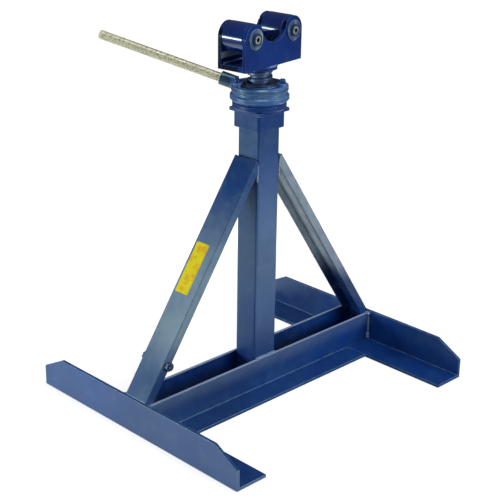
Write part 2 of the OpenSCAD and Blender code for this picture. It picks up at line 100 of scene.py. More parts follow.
class Wiring:
    """A material's node tree with short calls for the nodes that the finishes share."""

    def __init__(self, name: str) -> None:
        """Starts an empty material.

        Args:
            name: Name of the material.
        """
        self.material = bpy.data.materials.new(name)
        self.material.use_nodes = True
        self.tree = self.material.node_tree
        self.shader = self.tree.nodes["Principled BSDF"]
        spot = self.add("ShaderNodeTexCoord")
        self.place, self.facing = spot.outputs["Object"], spot.outputs["Normal"]

    def add(self, kind: str, **settings: object) -> bpy.types.Node:
        """Adds one node and sets its properties."""
        node = self.tree.nodes.new(kind)
        for key, value in settings.items():
            setattr(node, key, value)
        return node

    def join(self, source: bpy.types.NodeSocket, target: bpy.types.NodeSocket) -> None:
        """Links an output to an input."""
        self.tree.links.new(source, target)

    def noise(self, scale: float, detail: float = 3.0, rough: float = 0.55, stretch: Colour = (1, 1, 1)) -> bpy.types.NodeSocket:
        """Adds a noise over the piece.

        Args:
            scale: Patches per metre.
            detail: Number of finer layers.
            rough: Strength of the finer layers.
            stretch: Factors on the three axes, small where the pattern runs long.

        Returns:
            The noise as a number.
        """
        turn = self.add("ShaderNodeMapping")
        turn.inputs["Scale"].default_value = stretch
        self.join(self.place, turn.inputs["Vector"])
        node = self.add("ShaderNodeTexNoise")
        node.inputs["Scale"].default_value = scale
        node.inputs["Detail"].default_value = detail
        node.inputs["Roughness"].default_value = rough
        self.join(turn.outputs["Vector"], node.inputs["Vector"])
        return node.outputs["Fac"]

    def ramp(self, value: bpy.types.NodeSocket, low: float, high: float, out_low: float = 0.0, out_high: float = 1.0) -> bpy.types.NodeSocket:
        """Maps a number from one range to another, smoothly and clamped.

        Args:
            value: The number to map.
            low: Value that gives out_low.
            high: Value that gives out_high.
            out_low: Result at the low end.
            out_high: Result at the high end.

        Returns:
            The mapped number.
        """
        node = self.add("ShaderNodeMapRange", interpolation_type="SMOOTHSTEP")
        for key, number in (("From Min", low), ("From Max", high), ("To Min", out_low), ("To Max", out_high)):
            node.inputs[key].default_value = number
        self.join(value, node.inputs["Value"])
        return node.outputs["Result"]

    def larger(self, one: bpy.types.NodeSocket, other: bpy.types.NodeSocket) -> bpy.types.NodeSocket:
        """Takes the larger of two numbers."""
        node = self.add("ShaderNodeMath", operation="MAXIMUM")
        self.join(one, node.inputs[0])
        self.join(other, node.inputs[1])
        return node.outputs[0]

    def times(self, one: bpy.types.NodeSocket, other: bpy.types.NodeSocket) -> bpy.types.NodeSocket:
        """Multiplies two numbers."""
        node = self.add("ShaderNodeMath", operation="MULTIPLY")
        self.join(one, node.inputs[0])
        self.join(other, node.inputs[1])
        return node.outputs[0]

    def blend(self, share: bpy.types.NodeSocket, under: bpy.types.NodeSocket | Colour, upper: Colour) -> bpy.types.NodeSocket:
        """Lays one colour over another.

        Args:
            share: How much of the upper colour shows.
            under: Colour below, or the socket that gives it.
            upper: Colour on top.

        Returns:
            The blended colour.
        """
        node = self.add("ShaderNodeMix", data_type="RGBA")
        self.join(share, node.inputs["Factor"])
        if isinstance(under, bpy.types.NodeSocket):
            self.join(under, node.inputs[6])
        else:
            node.inputs[6].default_value = (*under, 1)
        node.inputs[7].default_value = (*upper, 1)
        return node.outputs[2]

    def edges(self, radius: float) -> tuple[bpy.types.NodeSocket, bpy.types.NodeSocket]:
        """Finds the piece's edges.

        Args:
            radius: How far from an edge its mark reaches, in metres.

        Returns:
            The rounded normal, and a number that is 1 on an edge and 0 away from it.
        """
        soft = self.add("ShaderNodeBevel", samples=6)
        soft.inputs["Radius"].default_value = radius
        flat = self.add("ShaderNodeNewGeometry")
        dot = self.add("ShaderNodeVectorMath", operation="DOT_PRODUCT")
        self.join(soft.outputs["Normal"], dot.inputs[0])
        self.join(flat.outputs["Normal"], dot.inputs[1])
        return soft.outputs["Normal"], self.ramp(dot.outputs["Value"], 0.999, 0.93)

    def relief(self, height: bpy.types.NodeSocket, depth: float, strength: float, normal: Optional[bpy.types.NodeSocket] = None) -> None:
        """Presses a fine relief into the surface.

        Args:
            height: The relief's height.
            depth: Its depth in metres.
            strength: Its share, from 0 to 1.
            normal: The normal that it starts from, if not the mesh's own.
        """
        node = self.add("ShaderNodeBump")
        node.inputs["Strength"].default_value = strength
        node.inputs["Distance"].default_value = depth
        self.join(height, node.inputs["Height"])
        if normal is not None:
            self.join(normal, node.inputs["Normal"])
        self.join(node.outputs["Normal"], self.shader.inputs["Normal"])

    def plain(self, **values: float) -> None:
        """Sets constants on the shader's own sockets, with underscores for the spaces in their names."""
        for key, value in values.items():
            self.shader.inputs[key.replace("_", " ")].default_value = value


@dataclass(frozen=True)
class PaintedReflection:
    """Painted reflection: a pale band over a painted piece, between two heights and stronger towards one side and on
    faces turned a given way, standing in for the bright floor seen in its faces.
    """

    reflection_tone: Colour
    low: tuple[float, float]
    high: tuple[float, float]
    front: float
    back: float
    outer: float = 1.0
    side: float = 1.0
    top_highlight: Optional[Colour] = None

    def lay(self, wires: Wiring, tone: bpy.types.NodeSocket) -> bpy.types.NodeSocket:
        """Lays the painted reflection over a paint's colour.

        Args:
            wires: The paint's node tree.
            tone: The paint's colour.

        Returns:
            The colour with the painted reflection on it.
        """
        parts = wires.add("ShaderNodeSeparateXYZ")
        wires.join(wires.place, parts.inputs[0])
        # painted reflection: pale band between two heights, weighted by side and by which way the faces look
        share = wires.times(wires.ramp(parts.outputs["Z"], *self.low), wires.ramp(parts.outputs["Z"], *self.high, 1.0, 0.0))
        share = wires.times(share, wires.ramp(parts.outputs["Y"], -0.012, 0.012, self.front, self.back))
        faces = wires.add("ShaderNodeSeparateXYZ")
        wires.join(wires.facing, faces.inputs[0])
        share = wires.times(share, wires.ramp(faces.outputs["X"], 0.2, 0.6, 1.0, self.outer))
        across = wires.add("ShaderNodeMath", operation="ABSOLUTE")
        wires.join(faces.outputs["Y"], across.inputs[0])
        share = wires.times(share, wires.ramp(across.outputs[0], 0.3, 0.7, self.side, 1.0))
        share = wires.times(share, wires.ramp(wires.noise(26.0, 5, 0.6), 0.3, 0.6, 0.72, 1.0))
        # painted highlight on upward faces above the band's lower height, the rails' top edges
        if self.top_highlight is not None:
            above = wires.times(wires.ramp(faces.outputs["Z"], 0.5, 0.9), wires.ramp(parts.outputs["Z"], self.low[1], self.low[1] + 0.001))
            tone = wires.blend(above, tone, self.top_highlight)
        return wires.blend(share, tone, self.reflection_tone)


@dataclass(frozen=True)
class PaintedOuterShade:
    """Painted shade on a painted piece, beyond a distance from the jack's middle line."""

    tone: Colour
    start: float
    full: float

    def lay(self, wires: Wiring, tone: bpy.types.NodeSocket) -> bpy.types.NodeSocket:
        """Lays the painted shade over a paint's colour.

        Args:
            wires: The paint's node tree.
            tone: The paint's colour.

        Returns:
            The colour with the painted shade on it.
        """
        flat = wires.add("ShaderNodeVectorMath", operation="MULTIPLY")
        flat.inputs[1].default_value = (1, 1, 0)
        wires.join(wires.place, flat.inputs[0])
        reach = wires.add("ShaderNodeVectorMath", operation="LENGTH")
        wires.join(flat.outputs["Vector"], reach.inputs[0])
        # painted shade: darker beyond a distance from the middle line, over the lever's socket
        return wires.blend(wires.ramp(reach.outputs["Value"], self.start, self.full, 0.0, 0.85), tone, self.tone)


@dataclass(frozen=True)
class PaintedEndShade:
    """Painted shade on the faces that look to the left, behind a given depth, which are also made dull, and a painted
    streak of light on an inner face.
    """

    tone: Colour
    front: float
    streak: Colour
    low: float
    high: float

    def lay(self, wires: Wiring, tone: bpy.types.NodeSocket) -> bpy.types.NodeSocket:
        """Lays the painted shade and the painted light streak over a paint's colour.

        Args:
            wires: The paint's node tree.
            tone: The paint's colour.

        Returns:
            The colour with the painted shade and light streak on it.
        """
        parts = wires.add("ShaderNodeSeparateXYZ")
        wires.join(wires.place, parts.inputs[0])
        faces = wires.add("ShaderNodeSeparateXYZ")
        wires.join(wires.facing, faces.inputs[0])
        # painted shade on faces turned to the left, dulled with less specular and coat
        ends = wires.ramp(faces.outputs["X"], -0.7, -0.92, 0.0, 0.9)
        share = wires.times(ends, wires.ramp(parts.outputs["Y"], self.front, self.front + 0.004))
        wires.join(wires.ramp(ends, 0.0, 0.9, 0.5, 0.06), wires.shader.inputs["Specular IOR Level"])
        wires.join(wires.ramp(ends, 0.0, 0.9, 0.3, 0.0), wires.shader.inputs["Coat Weight"])
        # painted light: a pale streak on the back plate's inner face, between two heights
        inside = wires.times(wires.ramp(faces.outputs["Y"], -0.8, -0.95), wires.ramp(parts.outputs["Y"], 0.0, 0.012))
        level = wires.times(wires.ramp(parts.outputs["Z"], self.low, self.low + 0.002), wires.ramp(parts.outputs["Z"], self.high + 0.002, self.high))
        tone = wires.blend(wires.times(inside, level), tone, self.streak)
        return wires.blend(share, tone, self.tone)


@dataclass(frozen=True)
class Paint:
    """Sprayed enamel on steel: patchy, with pale rubbed edges that also serve as painted edge highlights (painted dark
    edge shade where a rim colour is given), painted light laid over it where given, and a faint orange peel.
    """

    name: str
    colour: Colour
    deep: Colour
    pale: Colour
    rough: float = 0.34
    coat: float = 0.35
    coat_rough: float = 0.12
    haze: float = 0.35
    edge_wear_and_light: float = 0.6
    edge: float = 0.0014
    gloss: Colour = (0.5, 0.87, 0.95)
    index: float = 1.85
    rim: Optional[Colour] = None
    painted_light: Optional[PaintedReflection | PaintedOuterShade | PaintedEndShade] = None

    def material(self) -> bpy.types.Material:
        """Builds the paint's material.

        Returns:
            The material.
        """
        wires = Wiring(self.name)
        normal, edge = wires.edges(self.edge)
        patches = wires.ramp(wires.noise(5.0, 3, 0.5), 0.36, 0.64)
        tone = wires.blend(patches, self.deep, self.colour)
        dust = wires.ramp(wires.noise(34.0, 5, 0.62), 0.44, 0.74, 0.0, self.haze)
        tone = wires.blend(dust, tone, self.pale)
        # edge mark: pale rubbed wear that also serves as painted highlight along edges
        worn = wires.times(edge, wires.ramp(wires.noise(70.0, 4, 0.6), 0.34, 0.6, 0.3, self.edge_wear_and_light))
        # painted light and shade laid over the paint: reflection bands, shade and a light streak
        if self.painted_light is not None:
            tone = self.painted_light.lay(wires, tone)
        # where a rim colour is given the edge mark is painted dark edge shade instead
        tone = wires.blend(worn, tone, self.rim or tuple(min(1.0, 1.5 * part + 0.03) for part in self.pale))
        wires.join(tone, wires.shader.inputs["Base Color"])
        wires.join(wires.ramp(wires.noise(22.0, 4, 0.6), 0.3, 0.75, self.rough - 0.06, self.rough + 0.12), wires.shader.inputs["Roughness"])
        wires.plain(Coat_Weight=self.coat, Coat_Roughness=self.coat_rough, IOR=self.index)
        wires.shader.inputs["Specular Tint"].default_value = (*self.gloss, 1)
        wires.relief(wires.noise(420.0, 2, 0.5), 0.0004, 0.22, normal)
        return wires.material


@dataclass(frozen=True)
class Steel:
    """Machined or rolled steel with turning marks, faint stains and brighter edges."""

    name: str
    colour: Colour
    stain: Colour
    rough: float = 0.34
    metal: float = 1.0
    stretch: Colour = (1.0, 1.0, 9.0)
    edge: float = 0.0007

    def material(self) -> bpy.types.Material:
        """Builds the steel's material.

        Returns:
            The material.
        """
        wires = Wiring(self.name)
        normal, edge = wires.edges(self.edge)
        tone = wires.blend(wires.ramp(wires.noise(45.0, 4, 0.6), 0.42, 0.7), self.colour, self.stain)
        bright = wires.ramp(edge, 0.0, 1.0, 0.0, 0.55)
        tone = wires.blend(bright, tone, tuple(min(1.0, 1.3 * part + 0.05) for part in self.colour))
        wires.join(tone, wires.shader.inputs["Base Color"])
        wires.join(wires.ramp(wires.noise(90.0, 3, 0.6), 0.3, 0.7, self.rough - 0.06, self.rough + 0.1), wires.shader.inputs["Roughness"])
        wires.plain(Metallic=self.metal)
        wires.relief(wires.noise(260.0, 2, 0.5, self.stretch), 0.0002, 0.3, normal)
        return wires.material


@dataclass(frozen=True)
class AxleEnds:
    """Painted axle heads: painted shade for a dark centre hole, inside a bright worn ring that also stands in as
    painted highlight.
    """

    name: str
    colour: Colour
    ring: Colour
    hole_shade: Colour
    turn: float
    aside: float
    height: float
    hole_radius: float = 0.0042
    ring_radius: float = 0.0074

    def material(self) -> bpy.types.Material:
        """Builds the finish from the distance to the nearer axle's middle line.

        Returns:
            The material.
        """
        wires = Wiring(self.name)
        level = wires.add("ShaderNodeMapping")
        level.inputs["Rotation"].default_value = (0, 0, -self.turn)
        wires.join(wires.place, level.inputs["Vector"])
        fold = wires.add("ShaderNodeVectorMath", operation="ABSOLUTE")
        wires.join(level.outputs["Vector"], fold.inputs[0])
        shift = wires.add("ShaderNodeVectorMath", operation="SUBTRACT")
        shift.inputs[1].default_value = (self.aside, 0, self.height)
        wires.join(fold.outputs["Vector"], shift.inputs[0])
        flat = wires.add("ShaderNodeVectorMath", operation="MULTIPLY")
        flat.inputs[1].default_value = (1, 0, 1)
        wires.join(shift.outputs["Vector"], flat.inputs[0])
        reach = wires.add("ShaderNodeVectorMath", operation="LENGTH")
        wires.join(flat.outputs["Vector"], reach.inputs[0])
        radius = reach.outputs["Value"]
        # painted highlight: bright worn ring around each axle's centre, broken by noise
        bright = wires.times(wires.ramp(radius, self.ring_radius + 0.0012, self.ring_radius), wires.ramp(wires.noise(180.0, 3, 0.6), 0.34, 0.56, 0.35, 1.0))
        tone = wires.blend(bright, self.colour, self.ring)
        # painted shade: near-black disc where the centre hole lies in shade
        tone = wires.blend(wires.ramp(radius, self.hole_radius + 0.0006, self.hole_radius), tone, self.hole_shade)
        wires.join(tone, wires.shader.inputs["Base Color"])
        wires.plain(Roughness=0.36, Metallic=0.2)
        wires.relief(wires.noise(300.0, 2, 0.5), 0.0002, 0.3)
        return wires.material


@dataclass(frozen=True)
class Plated:
    """Zinc-plated bar: dull cream grey with darker handling streaks along its length."""

    name: str
    colour: Colour
    streak: Colour
    along: Colour
    rough: float = 0.42

    def material(self) -> bpy.types.Material:
        """Builds the plating's material, its streaks turned along the bar.

        Returns:
            The material.
        """
        wires = Wiring(self.name)
        turn = wires.add("ShaderNodeMapping")
        level = Vector(self.along).rotation_difference(Vector((1, 0, 0))).to_euler()
        turn.inputs["Rotation"].default_value = level
        turn.inputs["Scale"].default_value = (0.16, 1, 1)
        wires.join(wires.place, turn.inputs["Vector"])
        noise = wires.add("ShaderNodeTexNoise")
        noise.inputs["Scale"].default_value = 330.0
        noise.inputs["Detail"].default_value = 3.0
        wires.join(turn.outputs["Vector"], noise.inputs["Vector"])
        streaks = wires.ramp(noise.outputs["Fac"], 0.5, 0.66, 0.0, 0.75)
        tone = wires.blend(streaks, self.colour, self.streak)
        cloud = wires.ramp(wires.noise(30.0, 4, 0.6), 0.45, 0.75, 0.0, 0.4)
        tone = wires.blend(cloud, tone, tuple(0.6 * part for part in self.colour))
        wires.join(tone, wires.shader.inputs["Base Color"])
        wires.join(wires.ramp(wires.noise(80.0, 3, 0.6), 0.3, 0.7, self.rough - 0.08, self.rough + 0.12), wires.shader.inputs["Roughness"])
        wires.plain(Metallic=0.35)
        wires.relief(noise.outputs["Fac"], 0.0003, 0.35)
        return wires.material


@dataclass(frozen=True)
class Sticker:
    """Bare vinyl label: strong yellow with warm smudges and a few rubbed spots."""

    name: str
    colour: Colour
    smudge: Colour
    rubbed: Colour

    def material(self) -> bpy.types.Material:
        """Builds the label's material.

        Returns:
            The material.
        """
        wires = Wiring(self.name)
        warm = wires.ramp(wires.noise(60.0, 4, 0.6), 0.46, 0.62, 0.0, 0.9)
        tone = wires.blend(warm, self.colour, self.smudge)
        spots = wires.ramp(wires.noise(150.0, 4, 0.6), 0.66, 0.74, 0.0, 0.6)
        tone = wires.blend(spots, tone, self.rubbed)
        wires.join(tone, wires.shader.inputs["Base Color"])
        wires.plain(Roughness=0.55, IOR=1.35)
        wires.relief(wires.noise(120.0, 2, 0.5), 0.0002, 0.2)
        return wires.material


@dataclass(frozen=True)
class Finishes:
    """Every finish of the jack, as materials ready to lay on a piece."""

    stand: bpy.types.Material
    rail: bpy.types.Material
    post: bpy.types.Material
    brace_left: bpy.types.Material
    brace_right: bpy.types.Material
    rings: bpy.types.Material
    yoke: bpy.types.Material
    worn: bpy.types.Material
    weld: bpy.types.Material
    lift: bpy.types.Material
    head: bpy.types.Material
    rollers: bpy.types.Material
    zinc: bpy.types.Material
    bolt: bpy.types.Material
    axle_end: bpy.types.Material
    axle: bpy.types.Material
    bearing: bpy.types.Material
    hub: bpy.types.Material
    thread: bpy.types.Material
    bronze: bpy.types.Material
    spring: bpy.types.Material
    label: bpy.types.Material


def mix_finishes(handle_along: Colour) -> Finishes:
    """Mixes the finishes from the colours that the jack shows.

    Args:
        handle_along: Direction of the handle bar, for its streaks.

    Returns:
        All the materials.
    """
    # painted shade for the braces' dark edge lines
    shade = linear(24, 34, 60)
    return Finishes(
        stand=Paint("stand_enamel", linear(12, 60, 138), linear(6, 44, 114), linear(84, 120, 160), 0.34, 0.1, 0.25, 0.14, 0.95, 0.0026).material(),
        rail=Paint("rail_enamel", linear(12, 60, 138), linear(6, 44, 114), linear(84, 120, 160), 0.34, 0.1, 0.25, 0.14, 1.0, 0.0026, painted_light=PaintedReflection(linear(120, 146, 178), (0.03, 0.068), (0.5, 0.6), 0.34, 0.0, 1.0, 0.0, top_highlight=linear(176, 190, 226))).material(),
        post=Paint("post_enamel", linear(12, 60, 138), linear(6, 44, 114), linear(84, 120, 160), 0.34, 0.1, 0.25, 0.14, 0.95, 0.0026, painted_light=PaintedReflection(linear(130, 160, 202), (0.07, 0.16), (0.36, 0.56), 0.3, 0.1, 1.0, 0.0)).material(),
        brace_left=Paint("left_brace_enamel", linear(14, 60, 130), linear(8, 46, 110), linear(92, 124, 150), 0.36, 0.1, 0.25, 0.3, 1.0, 0.0024, index=1.7, rim=shade, painted_light=PaintedReflection(linear(158, 184, 194), (0.11, 0.2), (0.28, 0.46), 0.62, 0.56)).material(),
        brace_right=Paint("right_brace_enamel", linear(12, 52, 122), linear(6, 38, 102), linear(110, 132, 146), 0.36, 0.1, 0.25, 0.3, 1.0, 0.0032, index=1.7, rim=shade, painted_light=PaintedReflection(linear(204, 220, 226), (0.16, 0.25), (0.6, 0.7), 0.48, 0.98, 0.3)).material(),
        # ring and yoke enamels are lighter copies of the blue paint: painted light for the lit bands of the ratchet
        # stack
        rings=Paint("ring_enamel", linear(52, 102, 174), linear(40, 84, 152), linear(120, 150, 186), 0.3, 0.2, 0.2, 0.45, 0.9, 0.0016).material(),
        yoke=Paint("yoke_enamel", linear(70, 124, 196), linear(52, 104, 176), linear(140, 170, 204), 0.28, 0.3, 0.15, 0.45, 0.95, 0.0018, painted_light=PaintedOuterShade(linear(10, 26, 52), 0.05, 0.062)).material(),
        worn=Paint("worn_enamel", linear(62, 92, 136), linear(24, 52, 104), linear(172, 190, 182), 0.3, 0.2, 0.2, 0.9, 0.8, index=1.5).material(),
        # weld enamel is a paler copy of the blue paint: painted highlight on the beads
        weld=Paint("weld_enamel", linear(112, 140, 190), linear(76, 106, 164), linear(190, 204, 230), 0.26, 0.4, 0.12, 0.6, 0.6).material(),
        lift=Paint("lift_enamel", linear(14, 60, 138), linear(8, 46, 118), linear(80, 114, 160), 0.32, 0.2, 0.2, 0.15, index=1.6).material(),
        head=Paint("head_enamel", linear(10, 52, 134), linear(6, 36, 108), linear(78, 108, 156), 0.17, 0.3, 0.08, 0.12, 0.5, 0.0012, index=1.5, painted_light=PaintedEndShade(linear(2, 8, 20), -0.028, linear(190, 204, 216), 0.7115, 0.7235)).material(),
        rollers=Paint("roller_enamel", linear(12, 42, 120), linear(7, 28, 92), linear(66, 92, 140), 0.16, 1.0, 0.04, 0.08, 0.5, index=1.5).material(),
        zinc=Plated("zinc_plate", linear(228, 230, 198), linear(130, 126, 96), handle_along).material(),
        bolt=Paint("bolt_enamel", linear(18, 44, 96), linear(12, 30, 74), linear(84, 104, 140), 0.36, 0.2, 0.2).material(),
        axle_end=AxleEnds("axle_ends", linear(40, 62, 108), linear(172, 188, 180), linear(6, 10, 20), math.radians(7), 0.0595, 0.7531).material(),
        axle=Steel("axle_steel", linear(120, 132, 150), linear(62, 74, 96), 0.3).material(),
        bearing=Steel("bearing_steel", linear(176, 180, 184), linear(120, 124, 130), 0.22).material(),
        hub=Steel("oiled_hub", linear(70, 88, 122), linear(30, 42, 68), 0.38, 0.6).material(),
        thread=Steel("oiled_thread", linear(92, 118, 156), linear(48, 66, 98), 0.34, 0.6, (1, 1, 3)).material(),
        bronze=Steel("bush_bronze", linear(176, 134, 76), linear(120, 88, 48), 0.32).material(),
        spring=Steel("spring_wire", linear(150, 152, 156), linear(90, 92, 98), 0.28).material(),
        label=Sticker("bare_label", linear(238, 226, 14), linear(236, 178, 16), linear(246, 238, 140)).material(),
    )


# ---------------------------------------------------------------- modelling


def deselect_all() -> None:
    """Leaves nothing selected."""
    for item in bpy.context.selected_objects:
        item.select_set(False)


def take(item: bpy.types.Object) -> bpy.types.Object:
    """Makes one object the only selected and the active one."""
    deselect_all()
    item.select_set(True)
    bpy.context.view_layer.objects.active = item
    return item


def settle(item: bpy.types.Object) -> bpy.types.Object:
    """Applies an object's place, turn and size to its mesh."""
    take(item)
    bpy.ops.object.transform_apply(location=True, rotation=True, scale=True)
    return item


def pick(item: bpy.types.Object, kind: str, test: Callable[[Vector], bool]) -> int:
    """Selects parts of the mesh in edit mode by the place of their middles.

    Args:
        item: The object, which is in edit mode.
        kind: "FACE", "EDGE" or "VERT".
        test: Tells from a middle whether that part is wanted.

    Returns:
        How many parts are selected.
    """
    bpy.ops.mesh.select_mode(type=kind)
    bpy.ops.mesh.select_all(action="DESELECT")
    mesh = bmesh.from_edit_mesh(item.data)
    count = 0
    group = {"FACE": mesh.faces, "EDGE": mesh.edges, "VERT": mesh.verts}[kind]
    for part in group:
        if kind == "FACE":
            middle = part.calc_center_median()
        elif kind == "EDGE":
            middle = (part.verts[0].co + part.verts[1].co) / 2
        else:
            middle = part.co
        if test(middle):
            part.select_set(True)
            count += 1
    mesh.select_flush_mode()
    bmesh.update_edit_mesh(item.data)
    return count


def modifier(item: bpy.types.Object, kind: str, **settings: object) -> None:
    """Adds a modifier and applies it.

    Args:
        item: The object to change.
        kind: The modifier's type.
        settings: Its properties.
    """
    take(item)
    made = item.modifiers.new("shape", kind)
    for key, value in settings.items():
        setattr(made, key, value)
    bpy.ops.object.modifier_apply(modifier=made.name)


def unite(items: Sequence[bpy.types.Object], name: str) -> bpy.types.Object:
    """Joins several objects into one mesh.

    Args:
        items: The objects, the first of which stays.
        name: Name of the result.

    Returns:
        The joined object.
    """
    take(items[0])
    for item in items[1:]:
        item.select_set(True)
    if len(items) > 1:
        bpy.ops.object.join()
    result = bpy.context.view_layer.objects.active
    result.name = name
    result.data.name = name
    return result


def outward(item: bpy.types.Object, merge: float = 0.00002) -> None:
    """Merges doubled points and turns all faces outwards."""
    take(item)
    bpy.ops.object.mode_set(mode="EDIT")
    bpy.ops.mesh.select_mode(type="VERT")
    bpy.ops.mesh.select_all(action="SELECT")
    bpy.ops.mesh.remove_doubles(threshold=merge)
    bpy.ops.mesh.normals_make_consistent(inside=False)
    bpy.ops.object.mode_set(mode="OBJECT")


def smooth(item: bpy.types.Object, degrees: float = 35.0) -> None:
    """Shades an object smooth except at sharp edges."""
    take(item)
    bpy.ops.object.shade_smooth_by_angle(angle=math.radians(degrees))


def finish_piece(item: bpy.types.Object, material: bpy.types.Material, body: Body) -> bpy.types.Object:
    """Gives a piece its material and lets it ride on its body.

    Args:
        item: The finished piece.
        material: Its material.
        body: The body that it moves with.

    Returns:
        The piece.
    """
    settle(item)
    item.data.materials.clear()
    item.data.materials.append(material)
    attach(item, body.value)
    LOG.info("piece %s: %d faces on body %s", item.name, len(item.data.polygons), body.value)
    return item


def node_box(name: str) -> tuple[Vector, Vector]:
    """Measures a CAD node.

    Args:
        name: The node's name.

    Returns:
        Its lowest and its highest corner, in metres.
    """
    spots = [point.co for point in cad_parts[name].data.vertices]
    return Vector(map(min, zip(*spots))), Vector(map(max, zip(*spots)))


def dress(material: bpy.types.Material, *nodes: str) -> None:
    """Lays a material on CAD nodes, whose meshes stay as they are.

    Args:
        material: The finish.
        nodes: Names of the nodes.
    """
    for name in nodes:
        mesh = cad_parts[name].data
        mesh.materials.clear()
        mesh.materials.append(material)
        LOG.info("node %s: %s", name, material.name)


@dataclass
class WeldBead:
    """A run of weld, laid as overlapping scales along a straight line."""

    start: Vector
    end: Vector
    width: float = 0.006
    lean: Vector = field(default_factory=lambda: Vector((0, 0, 1)))

    def build(self, name: str) -> bpy.types.Object:
        """Models one scale and repeats it along the line.

        Args:
            name: Name of the bead.

        Returns:
            The bead in its place.
        """
        run = self.end - self.start
        step = self.width * 0.42
        count = max(3, int(run.length / step))
        bpy.ops.mesh.primitive_uv_sphere_add(segments=10, ring_count=6, radius=self.width / 2)
        scale = bpy.context.object
        bpy.ops.object.mode_set(mode="EDIT")
        bpy.ops.mesh.select_all(action="SELECT")
        bpy.ops.transform.resize(value=(0.62, 1.0, 0.62))
        pick(scale, "VERT", lambda middle: middle.x > self.width * 0.12)
        bpy.ops.transform.resize(value=(1.25, 1.08, 1.08))
        bpy.ops.object.mode_set(mode="OBJECT")
        modifier(
            scale,
            "ARRAY",
            fit_type="FIXED_COUNT",
            count=count,
            use_relative_offset=False,
            use_constant_offset=True,
            constant_offset_displace=(run.length / (count - 1), 0, 0),
        )
        along = run.normalized()
        up = (self.lean - along * self.lean.dot(along)).normalized()
        side = up.cross(along)
        turn = Matrix((along, side, up)).transposed().to_4x4()
        scale.matrix_world = Matrix.Translation(self.start) @ turn
        settle(scale)
        scale.name = name
        smooth(scale, 60)
        return scale


def fillet_beads(lines: Iterable[tuple[tuple[float, float, float], tuple[float, float, float], tuple[float, float, float]]], name: str, width: float = 0.006) -> bpy.types.Object:
    """Lays several beads as one piece.

    Args:
        lines: Start, end and outward lean of each bead, in metres.
        name: Name of the piece.
        width: Width of the beads.

    Returns:
        The joined beads.
    """
    made = [WeldBead(Vector(a), Vector(b), width, Vector(lean)).build(f"{name}_{i}") for i, (a, b, lean) in enumerate(lines)]
    return unite(made, name)


# ---------------------------------------------------------------- sub-assemblies


